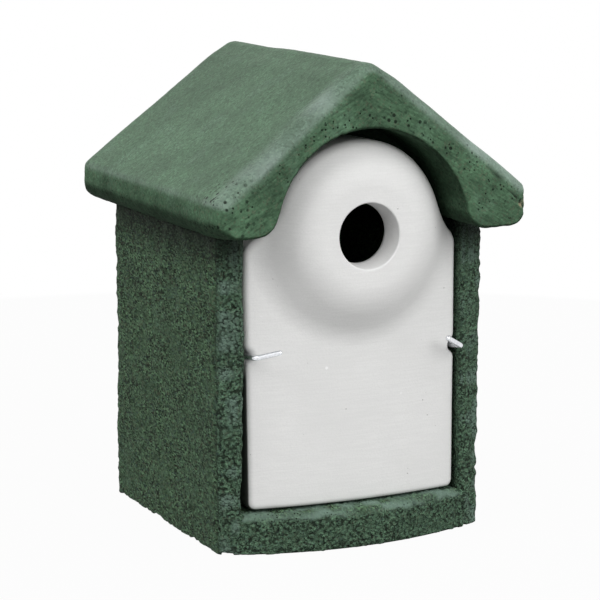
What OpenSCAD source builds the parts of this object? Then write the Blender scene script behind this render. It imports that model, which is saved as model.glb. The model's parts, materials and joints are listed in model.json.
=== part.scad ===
// Nest box of cast wood-fibre concrete: four walls, a floor and a thick gabled roof in one
// casting, with an arched hood over a bowed and domed front panel. Two turned wire hooks
// hold the panel in its rebate.
// Millimetres. +Z is up, the front faces -Y, and the origin is the middle of the base.

/* [Body] */
// Width of the body
body_w = 144; // [138:1:160]
// Depth of the body at its corners, without the bulge of the front
body_d = 137; // [120:1:170]
// Height of the walls, up to the level underside of the roof
wall_h = 157; // [140:1:190]
// Thickness of the side walls
side_t = 20; // [18:0.5:22]
// Thickness of the back wall
back_t = 20; // [16:1:26]
// Thickness of the floor
floor_t = 23; // [21:1:28]
// How far the front bulges forward of its corners
front_bow = 16; // [10:1:20]
// Rounding of the upright outer corners
corner_r = 6; // [3:0.5:9]
// Diameter of a drain hole
drain_d = 8; // [5:1:12]
// Distance between the two drain holes
drain_gap = 50; // [30:1:70]

/* [Rebate] */
// Width of the upright strip on each side of the panel
jamb_w = 12.5; // [11:0.5:13]
// Rounding of the rebate's front edges
jamb_edge_r = 2.5; // [1:0.5:4]
// Height of the ledge that the panel stands on
ledge_h = 20; // [14:0.5:20.5]
// Rounding of the ledge's front edge
ledge_edge_r = 5; // [1:0.5:6]
// Gap all round the panel
panel_gap = 1.2; // [0.6:0.1:2]

/* [Roof] */
// How far the eaves reach beyond the side walls
eave_out = 12.3; // [9:0.1:20]
// Height of an eave's upright face before it is rounded
eave_h = 18.4; // [17:0.2:26]
// Rise from the eaves to the ridge before it is rounded
roof_rise = 67; // [60:0.2:80]
// How far the hood reaches beyond the bulge of the front
hood_out = 13.7; // [10:0.1:25]
// How far the roof reaches behind the back wall
roof_back_out = 18; // [10:0.5:26]
// How far the two gable faces lean in from the eaves to the ridge
gable_lean = 7; // [0:0.5:9]
// Rounding of the roof's edges
roof_edge_r = 8; // [5:0.5:8.5]
// Rounding of the eaves' lower edges
eave_foot_r = 12; // [6:0.5:14]
// Radius of the arch under the hood
arch_r = 51.3; // [49:0.1:53]
// How far the arch's middle lies to the right of the body's middle
arch_shift = -2; // [-2.5:0.5:2.5]
// Rounding of the arch's feet
arch_foot_r = 12; // [6:0.5:14]

/* [Panel] */
// Thickness of the panel at its upright edges
panel_t = 15; // [12:0.5:18]
// How far the panel bulges forward of its upright edges
panel_bow = 5.5; // [3:0.5:8]
// How far the panel's edges lie behind the rebate's front edges
panel_recess = 4.5; // [3:0.5:7]
// Gap between the panel's round top and the hood's arch
arch_gap = 6.3; // [5:0.1:8]
// Width of the seat behind the panel's round top
arch_seat = 3.5; // [3:0.5:6]
// Rounding of the panel's front edges
panel_edge_r = 3; // [1.5:0.5:3.5]
// Rounding of the panel's lower corners
panel_foot_r = 4; // [4:0.5:7]
// Rounding of the panel's shoulders
panel_shoulder_r = 10; // [6:0.5:11]
// Radius of the hollows between the panel's round top and its shoulders
panel_neck_r = 50; // [20:1:70]

/* [Entrance] */
// Diameter of the entrance hole at its front
hole_d = 32; // [26:1:36]
// Diameter of the entrance hole at its back
hole_back_d = 29.5; // [24:0.5:32]
// How far the hole's centre lies below the underside of the roof
hole_drop = 1; // [0:0.5:3]
// Diameter of the dome's flat face ring
ring_d = 48; // [42:1:52]
// How far the ring stands out from the plate behind it
dome_out = 13.4; // [10:0.2:15]
// Diameter of the dome where it dies into the panel
dome_d = 102; // [90:1:108]
// Radius of the hollow where the panel's wall meets it
shoulder_r = 22; // [16:0.5:24]
// Thickness of the dome at the hole
dome_t = 14; // [12:0.5:18]
// Diameter of the hollow behind the dome, at the panel's back
hollow_d = 72; // [60:1:80]

/* [Hooks] */
// Diameter of the hooks' wire
wire_d = 2.8; // [2:0.1:3.4]
// Radius of the wire's bend, along its middle
bend_r = 3; // [2:0.1:5]
// Length of a hook's arm from the end of the bend
arm_len = 10; // [8:0.5:14]
// Angle by which a hook's arm leans out from the panel
arm_lean = 20; // [5:1:30]
// How far a shank reaches into the wall behind the panel
shank_in = 16; // [10:1:22]
// How far the end of a shank's straight length lies before the rebate's front edge
shank_out = 2; // [1:0.5:6]
// Distance of a shank's middle from the side of the rebate
shank_inset = 2.6; // [1.8:0.1:3]
// Radial clearance of a shank in its hole
shank_clear = 0.05; // [0.02:0.01:0.1]
// Radius of the notch in the panel's edge for a shank
notch_r = 3.2; // [2.6:0.1:4]
// Distance of a notch's middle from the panel's edge
notch_in = 0.3; // [0:0.1:1]
// Height of the left hook
left_hook_h = 97.7; // [70:0.1:105]
// Height of the right hook
right_hook_h = 94.2; // [70:0.1:105]
// Angle of the left hook's arm above level
left_hook_angle = 11; // [0:1:40]
// Angle of the right hook's arm above level
right_hook_angle = 29; // [0:1:40]

/* [Hanging] */
// Diameter of the hanging hole in the back of the roof
hang_d = 10; // [6:1:14]
// Depth of the hanging hole from the lower edge of its mouth
hang_depth = 18; // [10:1:24]
// How far the hanging hole lies below the ridge
hang_drop = 30; // [26:1:40]

/* [Hidden] */
$fn = 96;
ball_fn = 24;
bottom_n = 8; // spans along half of the panel's bottom
side_n = 9; // spans up the panel's side
corner_n = 4; // spans round a corner or a shoulder of the panel
neck_n = 4; // spans along the hollow of the panel's neck
top_n = 12; // spans round half of the panel's top
edge_n = 3; // spans round the panel's front edge
plate_n = 4; // spans from the front edge to the dome
dome_n = 10; // spans from the dome's foot to its ring
past = 40; // how far a cutter or a clipping box runs past what it meets
wire_fn = 32; // facets round a wire
thin = 0.03; // how much thinner than the bend an arm is all round
nest = 0.3; // how far an arm's end lies inside the bend
slack = 0.3; // how far the eaves' rounding starts outside the roof's sides
foot_sink = 5; // height of the roof's lower ball centres above its underside

casting_green = [0.22, 0.36, 0.27];
roof_green = [0.27, 0.42, 0.31];
panel_grey = [0.85, 0.85, 0.84];
zinc = [0.72, 0.74, 0.78];

// Plan of the body: straight sides and back, and a front that is one circular arc.
half_w = body_w / 2;
back_y = body_d / 2;
corner_y = -body_d / 2;
bow_r = (half_w * half_w + front_bow * front_bow) / (2 * front_bow);
front_y = corner_y - front_bow;
bow_y = front_y + bow_r;
cavity_half = half_w - side_t;
cavity_back = back_y - back_t;

// Rebate and panel, from the front backwards.
rebate_half = half_w - jamb_w;
panel_half = rebate_half - panel_gap;
rebate_y = bow_y - sqrt(bow_r * bow_r - rebate_half * rebate_half);
panel_edge_y = rebate_y + panel_recess;
seat_y = panel_edge_y + panel_t;
panel_front_y = panel_edge_y - panel_bow;
panel_bow_r = (panel_half * panel_half + panel_bow * panel_bow) / (2 * panel_bow);
panel_bow_y = panel_front_y + panel_bow_r;
panel_top = wall_h - panel_gap;
panel_arch_r = arch_r - arch_gap;
cavity_arch_r = panel_arch_r - arch_seat;

// Middle of the panel's shoulder, middle of the hollow neck above it, and the directions from
// there towards the shoulder and the round top.
shoulder_x = panel_half - panel_shoulder_r;
shoulder_z = panel_top - panel_shoulder_r;
to_shoulder = norm([shoulder_x, shoulder_z - wall_h]);
neck_along = (pow(panel_arch_r + panel_neck_r, 2) - pow(panel_shoulder_r + panel_neck_r, 2)
    + pow(to_shoulder, 2)) / (2 * to_shoulder);
neck_off = sqrt(pow(panel_arch_r + panel_neck_r, 2) - pow(neck_along, 2));
neck_x = (neck_along * shoulder_x - neck_off * (shoulder_z - wall_h)) / to_shoulder;
neck_z = wall_h + (neck_along * (shoulder_z - wall_h) + neck_off * shoulder_x) / to_shoulder;
neck_a0 = 180 + atan2(neck_z - wall_h, neck_x);
neck_a1 = 180 + atan2(neck_z - shoulder_z, neck_x - shoulder_x);

// Roof.
eave_half = half_w + eave_out;
eave_top = wall_h + eave_h;
ridge_h = eave_top + roof_rise;
roof_front = front_y - hood_out;
roof_back = back_y + roof_back_out;
pitch = atan(roof_rise / eave_half);
ridge_ball_z = ridge_h - roof_edge_r / cos(pitch);
eave_ball_z = max(wall_h + foot_sink, eave_top + roof_edge_r * tan(pitch) - roof_edge_r / cos(pitch));

// Dome: the face ring, a convex shoulder and a concave foot that meet at one slope.
hole_z = wall_h - hole_drop;
ring_r = ring_d / 2;
foot_end = dome_d / 2;
dome_slope = 2 * atan(dome_out / (foot_end - ring_r));
foot_r = (foot_end - ring_r) / sin(dome_slope) - shoulder_r;
shoulder_end = ring_r + shoulder_r * sin(dome_slope);
ring_y = panel_front_y - dome_out;
hole_back_y = ring_y + dome_t;
hollow_y = (pow(hollow_d / 2, 2) - pow(hole_back_d / 2, 2) + pow(seat_y, 2)
    - pow(hole_back_y, 2)) / (2 * (seat_y - hole_back_y));
hollow_r = sqrt(pow(hollow_d / 2, 2) + pow(hollow_y - seat_y, 2));

// Hooks.
shank_x = rebate_half - shank_inset;
shank_back = seat_y + shank_in;
shank_front = rebate_y - shank_out;

// A circle of radius r that touches a circular arc of radius arc_r from inside has its
// middle this far in front of the arc's middle, at the distance x from the centre line.
function touch_y(arc_r, r, x) = sqrt(pow(arc_r - r, 2) - x * x);

// The front of a plan that bulges as an arc of radius arc_r about arc_y, between straight
// sides at half, with its two corners rounded by r, back to the line y = to_y.
module bowed_plan(half, arc_r, arc_y, r, to_y) {
    cx = half - r;
    cy = arc_y - touch_y(arc_r, r, cx);
    tx = cx * arc_r / (arc_r - r);
    for (side = [-1, 1])
        translate([side * cx, cy]) circle(r);
    translate([-half, cy]) square([2 * half, to_y - cy]);
    intersection() {
        translate([0, arc_y]) circle(arc_r, $fn = 4 * $fn);
        translate([-tx, arc_y - arc_r - past]) square([2 * tx, cy - arc_y + arc_r + past]);
    }
}

// Draws what follows on one side: 1 is the right and -1 the left.
module on_side(side) {
    if (side > 0) children();
    else mirror([1, 0, 0]) children();
}

// Profile across the front, drawn in X and Z, carried along Y from y0 to y1.
module along_y(y0, y1) {
    translate([0, y1, 0]) rotate([90, 0, 0]) linear_extrude(y1 - y0) children();
}

module floor_slab() {
    difference() {
        translate([-cavity_half, seat_y, 0])
            cube([2 * cavity_half, cavity_back - seat_y, floor_t]);
        for (side = [-1, 1])
            translate([side * drain_gap / 2, 0, -past])
                cylinder(h = floor_t + 2 * past, d = drain_d);
    }
}

module back_wall() {
    color(casting_green)
    linear_extrude(wall_h) {
        translate([-half_w, cavity_back]) square([body_w, back_t - corner_r]);
        translate([-half_w + corner_r, cavity_back]) square([body_w - 2 * corner_r, back_t]);
        for (side = [-1, 1])
            translate([side * (half_w - corner_r), back_y - corner_r]) circle(corner_r);
    }
}

// Side wall with the hole that a hook's thread is screwed into.
module side_wall(hook_h) {
    difference() {
        translate([cavity_half, seat_y, 0])
            cube([side_t, cavity_back - seat_y, wall_h]);
        translate([shank_x, shank_back, hook_h]) rotate([90, 0, 0])
            cylinder(h = shank_in + past, r = wire_d / 2 + shank_clear);
    }
}

// The strip beside the panel: part of the bowed front, with both its edges rounded.
module jamb_plan() {
    ex = rebate_half + jamb_edge_r;
    ey = bow_y - touch_y(bow_r, jamb_edge_r, ex);
    tx = ex * bow_r / (bow_r - jamb_edge_r);
    ty = bow_y + (ey - bow_y) * bow_r / (bow_r - jamb_edge_r);
    translate([ex, ey]) circle(jamb_edge_r);
    polygon([[rebate_half, ey], [ex, ey], [tx, ty], [tx, seat_y], [rebate_half, seat_y]]);
    intersection() {
        bowed_plan(half_w, bow_r, bow_y, corner_r, seat_y);
        translate([tx, front_y]) square([half_w - tx, seat_y - front_y]);
    }
}

module jamb() {
    linear_extrude(wall_h) jamb_plan();
    linear_extrude(ledge_h)
        intersection() {
            bowed_plan(half_w, bow_r, bow_y, corner_r, seat_y);
            translate([rebate_half, front_y]) square([jamb_w / 2, seat_y - front_y]);
        }
}

// The lip below the panel, whose top is the ledge that the panel stands on.
module front_sill() {
    color(casting_green)
    intersection() {
        linear_extrude(ledge_h)
            intersection() {
                bowed_plan(half_w, bow_r, bow_y, corner_r, seat_y);
                translate([-rebate_half, front_y]) square([2 * rebate_half, seat_y - front_y]);
            }
        translate([0, bow_y, 0]) rotate_extrude($fn = 4 * $fn) {
            square([bow_r - ledge_edge_r, ledge_h]);
            square([bow_r, ledge_h - ledge_edge_r]);
            translate([bow_r - ledge_edge_r, ledge_h - ledge_edge_r]) circle(ledge_edge_r);
        }
    }
}

// Outer form of the roof before its underside is cut level: a gable rounded along its edges.
module roof_form() {
    r = roof_edge_r;
    hull()
        for (side = [-1, 1]) {
            for (y = [roof_front + r, roof_back - r], z = [wall_h + foot_sink, eave_ball_z])
                translate([side * (eave_half - r), y, z]) sphere(r, $fn = ball_fn);
            translate([0, side < 0 ? roof_front + gable_lean + r : roof_back - gable_lean - r,
                ridge_ball_z]) sphere(r, $fn = ball_fn);
        }
}

// Section across the roof from x0 to x1, with a level underside and rounded lower edges.
module roof_section(x0, x1) {
    foot_x = eave_half + slack - eave_foot_r;
    intersection() {
        translate([x0, wall_h]) square([x1 - x0, ridge_h - wall_h]);
        union() {
            translate([-foot_x, wall_h]) square([2 * foot_x, ridge_h - wall_h]);
            translate([-eave_half - past, wall_h + eave_foot_r])
                square([2 * (eave_half + past), ridge_h - wall_h]);
            for (side = [-1, 1])
                translate([side * foot_x, wall_h + eave_foot_r]) circle(eave_foot_r);
        }
    }
}

// The part of the roof between y0 and y1, from x0 to x1.
module roof_part(x0, x1, y0, y1) {
    intersection() {
        roof_form();
        along_y(y0, y1) roof_section(x0, x1);
    }
}

// Opening under the hood: a half round whose feet curve out into the roof's underside.
module hood_arch() {
    foot_x = sqrt(arch_r * arch_r + 2 * arch_r * arch_foot_r);
    touch = arch_r / (arch_r + arch_foot_r);
    translate([0, wall_h]) circle(arch_r);
    difference() {
        polygon([[0, wall_h - past], [foot_x, wall_h - past], [foot_x, wall_h + arch_foot_r],
            [foot_x * touch, wall_h + arch_foot_r * touch], [0, wall_h]]);
        translate([foot_x, wall_h + arch_foot_r]) circle(arch_foot_r);
    }
}

// Right half of the hood, with the arch moved to the right by shift.
module half_hood(shift) {
    difference() {
        roof_part(0, eave_half + past, roof_front - past, seat_y);
        along_y(roof_front - past, seat_y + past) translate([shift, 0]) hood_arch();
    }
}

module half_roof() {
    difference() {
        roof_part(0, eave_half + past, seat_y, cavity_back);
        along_y(seat_y - past, cavity_back + past) translate([0, wall_h]) circle(cavity_arch_r);
    }
}

module back_gable() {
    hang_z = ridge_h - hang_drop;
    lean = gable_lean / (ridge_ball_z - eave_ball_z);
    mouth_y = roof_back - lean * (hang_z - hang_d / 2 - eave_ball_z);
    color(roof_green)
    difference() {
        roof_part(-eave_half - past, eave_half + past, cavity_back, roof_back + past);
        translate([0, mouth_y - hang_depth, hang_z]) rotate([-90, 0, 0])
            cylinder(h = hang_depth + past, d = hang_d);
    }
}

// Points on an arc in X and Z, evenly spaced from the angle a0 to the angle a1.
function arc_points(cx, cz, r, a0, a1, n) =
    [for (i = [0 : n]) [cx + r * cos(a0 + (a1 - a0) * i / n), cz + r * sin(a0 + (a1 - a0) * i / n)]];

// Right half of the panel's outline, moved in by the distance in: along the bottom, round the
// lower corner, up the side, round the shoulder, along the hollow neck and up the round top, to
// just before its middle. Shoulder, neck and top are arcs that touch.
function half_outline(in) =
    let(foot_x = panel_half - panel_foot_r, foot_z = ledge_h + panel_foot_r)
    concat(
        [for (i = [0 : bottom_n - 1]) [foot_x * i / bottom_n, ledge_h + in]],
        arc_points(foot_x, foot_z, panel_foot_r - in, -90, 0, corner_n),
        [for (i = [1 : side_n - 1]) [panel_half - in, foot_z + (shoulder_z - foot_z) * i / side_n]],
        arc_points(shoulder_x, shoulder_z, panel_shoulder_r - in, 0, neck_a1 - 180, corner_n),
        [for (i = [1 : neck_n - 1]) let(a = neck_a1 + (neck_a0 - neck_a1) * i / neck_n)
            [neck_x + (panel_neck_r + in) * cos(a), neck_z + (panel_neck_r + in) * sin(a)]],
        [for (i = [0 : top_n - 1]) let(a = neck_a0 - 180 + (270 - neck_a0) * i / top_n)
            [(panel_arch_r - in) * cos(a), wall_h + (panel_arch_r - in) * sin(a)]]
    );

// The whole outline, once round from the middle of the bottom.
function outline(in) =
    let(half = half_outline(in), n = len(half))
    concat(half, [[0, wall_h + panel_arch_r - in]], [for (i = [n - 1 : -1 : 1]) [-half[i][0], half[i][1]]]);

// How far the dome stands out from the plate at the distance r from the hole's axis.
function dome_height(r) =
    r < ring_r ? dome_out
    : r < shoulder_end ? dome_out - shoulder_r + sqrt(pow(shoulder_r, 2) - pow(r - ring_r, 2))
    : r < foot_end ? foot_r - sqrt(pow(foot_r, 2) - pow(foot_end - r, 2))
    : 0;

// How much of the plate's sideways bulge the dome follows at the distance r from the hole's
// axis: none on the flat ring and all of it at the foot.
function bow_share(r) =
    let(t = max(0, min(1, (r - ring_r) / (foot_end - ring_r)))) t * t * (3 - 2 * t);

// Y of the panel's front at x and z.
function face_y(x, z) =
    let(r = norm([x, z - hole_z]))
    panel_front_y + bow_share(r) * (panel_bow_r - sqrt(pow(panel_bow_r, 2) - x * x)) - dome_height(r);

// The point at the distance r from the hole's axis, on the way to the point p of an outline.
function on_spoke(p, r) =
    let(reach = norm([p[0], p[1] - hole_z]))
    [p[0] * r / reach, hole_z + (p[1] - hole_z) * r / reach];

// Rings of points over the panel, from the back, over the rounded front edge and inwards to
// the hole: the outline's own rings, rings over the plate and rings over the dome.
function panel_rings() =
    let(rim = outline(panel_edge_r))
    concat(
        [[for (p = outline(0)) [p[0], seat_y, p[1]]]],
        [for (k = [0 : edge_n]) [for (p = outline(panel_edge_r * (1 - cos(90 * k / edge_n))))
            [p[0], face_y(p[0], p[1]) + panel_edge_r * (1 - sin(90 * k / edge_n)), p[1]]]],
        [for (k = [1 : plate_n + dome_n + 1]) [for (p = rim)
            let(reach = norm([p[0], p[1] - hole_z]), split = min(foot_end + 1, 0.8 * reach),
                r = k < plate_n ? reach + (split - reach) * k / plate_n
                    : k <= plate_n + dome_n ? split + (ring_r - split) * (k - plate_n) / dome_n
                    : hole_d / 3,
                q = on_spoke(p, r))
            [q[0], face_y(q[0], q[1]), q[1]]]],
        [[for (p = rim) let(q = on_spoke(p, hole_d / 3)) [q[0], seat_y, q[1]]]]
    );

// The panel with a hole that is still too small: a skin over the rings, from ring to ring.
module panel_blank() {
    rings = panel_rings();
    count = len(rings);
    n = len(rings[0]);
    faces = [for (j = [0 : count - 1], i = [0 : n - 1])
        let(here = j * n, next = (j + 1) % count * n, k = (i + 1) % n)
        each [[here + i, next + i, here + k], [here + k, next + i, next + k]]];
    polyhedron([for (ring = rings, p = ring) p], faces, convexity = 6);
}

module front_panel() {
    color(panel_grey)
    difference() {
        panel_blank();
        translate([0, hollow_y, hole_z]) sphere(hollow_r);
        translate([0, ring_y - dome_t, hole_z]) rotate([-90, 0, 0])
            cylinder(h = 3 * dome_t, d1 = 2 * hole_d - hole_back_d, d2 = 2 * hole_back_d - hole_d);
        for (hook = [[-1, left_hook_h], [1, right_hook_h]])
            translate([hook[0] * (panel_half - notch_in), seat_y + past, hook[1]]) rotate([90, 0, 0])
                cylinder(h = 3 * past, r = notch_r);
    }
}

// Bent wire hook on the right side. Its arm points towards the middle, leans out from the
// panel and is turned up by the angle turn.
module hook(hook_h, turn) {
    bend = 90 - arm_lean;
    arm_r = wire_d / 2 - thin;
    translate([shank_x, 0, hook_h]) rotate([0, turn, 0]) {
        translate([0, shank_back, 0]) rotate([90, 0, 0])
            cylinder(h = shank_back - shank_front, d = wire_d, $fn = wire_fn);
        translate([-bend_r, shank_front, 0]) {
            mirror([0, 1, 0]) rotate_extrude(angle = bend, $fn = 2 * wire_fn)
                translate([bend_r, 0]) circle(d = wire_d, $fn = wire_fn);
            rotate([0, 0, -bend]) translate([bend_r, nest, 0]) rotate([90, 0, 0]) {
                cylinder(h = arm_len + nest, r = arm_r, $fn = wire_fn);
                translate([0, 0, arm_len + nest]) sphere(arm_r, $fn = wire_fn);
            }
        }
    }
}

color(casting_green) floor_slab();  // floor
back_wall();
color(casting_green) on_side(-1) side_wall(left_hook_h);  // left_wall
color(casting_green) on_side(1) side_wall(right_hook_h);  // right_wall
color(casting_green) on_side(-1) jamb();  // left_jamb
color(casting_green) on_side(1) jamb();  // right_jamb
front_sill();
color(roof_green) on_side(-1) half_roof();  // left_roof
color(roof_green) on_side(1) half_roof();  // right_roof
color(roof_green) on_side(-1) half_hood(-arch_shift);  // left_hood
color(roof_green) on_side(1) half_hood(arch_shift);  // right_hood
back_gable();
front_panel();
color(zinc) on_side(-1) hook(left_hook_h, left_hook_angle);  // left_hook
color(zinc) on_side(1) hook(right_hook_h, right_hook_angle);  // right_hook
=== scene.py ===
"""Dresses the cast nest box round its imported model: the rough casting of the walls, the
smoother roof with its arched hood, the domed front panel and the two wire hooks.

Everything is in metres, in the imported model's own frame: +Z up, the front faces -Y.
"""
import json
import bmesh
import bpy
import numpy as np
from bpy.props import FloatProperty, FloatVectorProperty, PointerProperty
from mathutils import Matrix, Vector


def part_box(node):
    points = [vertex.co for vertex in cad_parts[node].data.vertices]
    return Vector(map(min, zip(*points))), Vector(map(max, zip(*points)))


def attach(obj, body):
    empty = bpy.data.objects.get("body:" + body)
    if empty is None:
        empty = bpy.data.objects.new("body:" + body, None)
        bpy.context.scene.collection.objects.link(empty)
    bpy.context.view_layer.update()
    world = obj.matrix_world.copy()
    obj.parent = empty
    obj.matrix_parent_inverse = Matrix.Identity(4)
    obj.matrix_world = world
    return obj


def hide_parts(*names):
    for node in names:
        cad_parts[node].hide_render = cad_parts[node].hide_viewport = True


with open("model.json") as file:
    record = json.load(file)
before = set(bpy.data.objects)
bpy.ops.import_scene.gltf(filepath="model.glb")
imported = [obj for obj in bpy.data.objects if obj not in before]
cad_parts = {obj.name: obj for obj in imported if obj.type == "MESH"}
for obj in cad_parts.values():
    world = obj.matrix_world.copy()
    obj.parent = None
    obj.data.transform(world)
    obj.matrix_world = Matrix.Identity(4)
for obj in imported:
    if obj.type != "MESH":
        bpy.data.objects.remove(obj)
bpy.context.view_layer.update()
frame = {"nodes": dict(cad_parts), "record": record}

bl_info = {
    "name": "Nest Box",
    "version": (1, 0, 0),
    "blender": (4, 5, 0),
    "location": "View3D > Sidebar > Nest Box",
    "description": "Builds the looks of a cast nest box with a domed panel and an arched hood",
    "category": "Object",
}

MM = 0.001

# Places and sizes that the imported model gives.
HALF_W = -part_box("left_wall")[0].x
CAVITY_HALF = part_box("floor")[1].x
CAVITY_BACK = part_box("back_wall")[0].y
BACK_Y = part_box("back_wall")[1].y
CORNER_Y = -BACK_Y
WALL_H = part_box("back_wall")[1].z
SEAT_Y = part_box("floor")[0].y
FRONT_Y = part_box("front_sill")[0].y
LEDGE_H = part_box("front_sill")[1].z
REBATE_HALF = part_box("front_sill")[1].x
ROOF_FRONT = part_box("left_hood")[0].y
ROOF_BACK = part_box("back_gable")[1].y
EAVE_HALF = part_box("right_hood")[1].x
RIDGE_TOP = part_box("back_gable")[1].z
PANEL_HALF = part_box("front_panel")[1].x
PANEL_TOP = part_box("front_panel")[1].z
RING_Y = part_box("front_panel")[0].y
PANEL_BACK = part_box("front_panel")[1].y
SHANK_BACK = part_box("left_hook")[1].y

# The front of the walls bulges as one arc through its two corners and its middle.
BOW = CORNER_Y - FRONT_Y
BOW_R = (HALF_W ** 2 + BOW ** 2) / (2 * BOW)
BOW_Y = FRONT_Y + BOW_R

# The panel's outline scaled about the hole, inside which no notch reaches.
INSET = 0.84

# The camera: place, turns in degrees about its axes, lens and sensor.
CAMERA_PLACE = (-0.5253, -1.1086, 0.3337)
CAMERA_TURNS = (("Z", -25.55), ("X", 79.68), ("Z", 0.09))
CAMERA_LENS = 144.17
CAMERA_SENSOR = 36.0

# The lamps: the size of each one's square, and its place; and what they are turned to.
FRONT_LAMP = (1.2, (0.55, -1.65, 1.05))
LEFT_LAMP = (0.9, (-1.10, -0.45, 1.20))
LAMP_TARGET = (0, 0, 0.12)

# How finely the skins are divided: points along a path, and loops or steps across it.
WALL_POINTS = 150
WALL_LOOPS = 150
SILL_POINTS = 84
SILL_LOOPS = 290
ROOF_POINTS = 112
HOOD_LOOPS = 27
VAULT_LOOPS = 62
GABLE_LOOPS = 21
FRONT_STEPS = 30
BACK_STEPS = 44
PANEL_POINTS = 340
PLATE_RINGS = (11, 13, 42)
WIRE_SIDES = 28
DISC_SIDES = 96

# How far the roof's and the panel's skins are set back for their relief, the depth of the
# crack at the eave, and the share of the walls' relief that the cavity's faces keep.
ROOF_SINK = 0.55 * MM
PANEL_SINK = 0.16 * MM
CRACK_DEPTH = 0.8 * MM
INSIDE_RELIEF = 0.3


def hook_axis(name):
    """The point that a hook's joint turns about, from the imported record."""
    for joint in frame["record"]["behaviour"]["joints"]:
        if joint["child"] == name:
            return np.array(joint["pos_m"], float)
    raise ValueError("no joint for " + name)


def hang_bore():
    """The hanging hole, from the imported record: its axis's x and z, its radius, and the y
    of its closed end."""
    for mount in frame["record"]["mounts"]:
        if mount["name"] == "hang_hole":
            x, y, z = mount["pos_m"]
            sizes = mount["dims"]
            return x, z, sizes["r_mm"] * MM, y - sizes["length_mm"] * MM / 2
    raise ValueError("no hanging hole")


# ---------------------------------------------------------------- sizes and colours


def length(name, description, default):
    """A length property, from its default in millimetres."""
    return FloatProperty(name=name, description=description, default=default * MM,
                         precision=5, unit="LENGTH")


def angle(name, description, default):
    """An angle property, from its default in degrees."""
    return FloatProperty(name=name, description=description, default=np.radians(default),
                         subtype="ANGLE", unit="ROTATION")


def colour(name, description, default):
    """A linear colour property."""
    return FloatVectorProperty(name=name, description=description, default=default,
                               size=3, min=0.0, max=1.0, subtype="COLOR")


class NestWalls(bpy.types.PropertyGroup):
    bulge: length("Bulge", "How far the side walls belly out", 1.2)
    rebate_wear: length("Rebate wear", "Most that the left jamb's inner edge is worn back", 1.8)
    corner_r: length("Corner radius", "Rounding of the upright outer corners", 6)
    jamb_edge_r: length("Rebate edge radius", "Rounding of the rebate's front edges", 2.5)
    ledge_edge_r: length("Ledge radius", "Rounding of the ledge's front edge", 5)
    foot_r: length("Foot radius", "Rounding of the walls' bottom edge", 1)
    grain: length("Grain height", "Height of the coarse grains of the cast surface", 0.45)
    pit_depth: length("Pit depth", "Depth of the pits between the grains", 1.1)
    green: colour("Green", "Colour of the coarse casting", (0.054, 0.100, 0.054))


class NestRoof(bpy.types.PropertyGroup):
    swell: length("Swell", "How far the slopes stand above flat planes", 1.5)
    edge_r: length("Edge radius", "Rounding of the roof's edges", 8)
    eave_foot_r: length("Eave foot radius", "Rounding of the eaves' lower edges", 12)
    eave_ball_z: length("Eave ball height", "Height where an eave's face begins to round", 171.54)
    lean: length("Gable lean", "How far the gable faces lean in up to the ridge", 7)
    arch_r: length("Arch radius", "Radius of the arch under the hood", 51.3)
    arch_x: length("Arch middle", "Sideways place of the arch's middle", -2)
    arch_foot_r: length("Arch foot radius", "Rounding of the arch's feet", 12)
    vault_r: length("Vault radius", "Radius of the vault over the nest cavity", 41.5)
    lip_r: length("Lip radius", "Rounding of the hood's lower front edge", 2)
    feet_lift: length("Feet lift", "How far the hood's left front foot curls up", 2.5)
    bore_edge_r: length("Bore edge radius", "Rounding of the hanging hole's mouth", 0.8)
    pit_depth: length("Pit depth", "Depth of the pores in the roof", 1)
    green: colour("Green", "Colour of the troweled roof", (0.073, 0.144, 0.082))


class NestPanel(bpy.types.PropertyGroup):
    bow: length("Bow", "How far the panel bulges forward of its upright edges", 5.5)
    dome_out: length("Dome height", "How far the dome's ring stands out", 13.4)
    dome_r: length("Dome radius", "Radius at which the dome dies into the panel", 57)
    ring_r: length("Ring radius", "Radius of the dome's flat ring", 24)
    shoulder_r: length("Dome shoulder", "Radius of the dome's rounded shoulder", 27)
    slope: angle("Dome slope", "Slope of the dome between its shoulder and its foot", 36)
    hole_r: length("Hole radius", "Radius of the entrance hole at its front", 16)
    hole_back_r: length("Hole back radius", "Radius of the entrance hole at its back", 14.75)
    hole_drop: length("Hole drop", "How far the hole lies below the walls' top", 1)
    dome_t: length("Dome thickness", "Thickness of the dome at the hole", 14)
    hollow_r: length("Hollow radius", "Radius of the hollow at the panel's back", 36)
    edge_r: length("Edge radius", "Rounding of the panel's front edges", 2.9)
    foot_r: length("Foot radius", "Rounding of the lower corners", 4)
    corner_r: length("Corner radius", "Rounding of the panel's shoulders", 10)
    corner_z: length("Corner height", "Height of the middle of the shoulders", 145.8)
    neck_r: length("Neck radius", "Radius of the hollows above the shoulders", 50)
    notch_r: length("Notch radius", "Radius of the hooks' notches", 3.2)
    slack: length("Slack", "Most that the left lower edge stands clear of the jamb", 2)
    foot_gap: length("Foot gap", "Height of the panel's lower edge above the ledge", 0.7)
    notch_in: length("Notch inset", "Distance of a notch's middle from the edge", 0.3)
    grey: colour("Grey", "Colour of the smooth panel", (0.80, 0.80, 0.79))


class NestHooks(bpy.types.PropertyGroup):
    wire_r: length("Wire radius", "Radius of the hooks' wire", 1.3)
    bend_r: length("Bend radius", "Radius of the wire's bend along its middle", 3)
    arm: length("Arm length", "Length of a hook's arm from the end of the bend", 10.2)
    front_y: length("Shank end", "Where a shank's straight length ends", -76.5)
    rise: length("Rise", "How far the wire is bent up ahead of its hole", 1.3)
    lean: angle("Arm lean", "Angle by which an arm leans out from the panel", 20)
    left_turn: angle("Left arm angle", "Angle of the left arm above level", 13)
    right_turn: angle("Right arm angle", "Angle of the right arm above level", 29)
    zinc: colour("Zinc", "Colour of the plated wire", (0.84, 0.86, 0.89))


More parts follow.
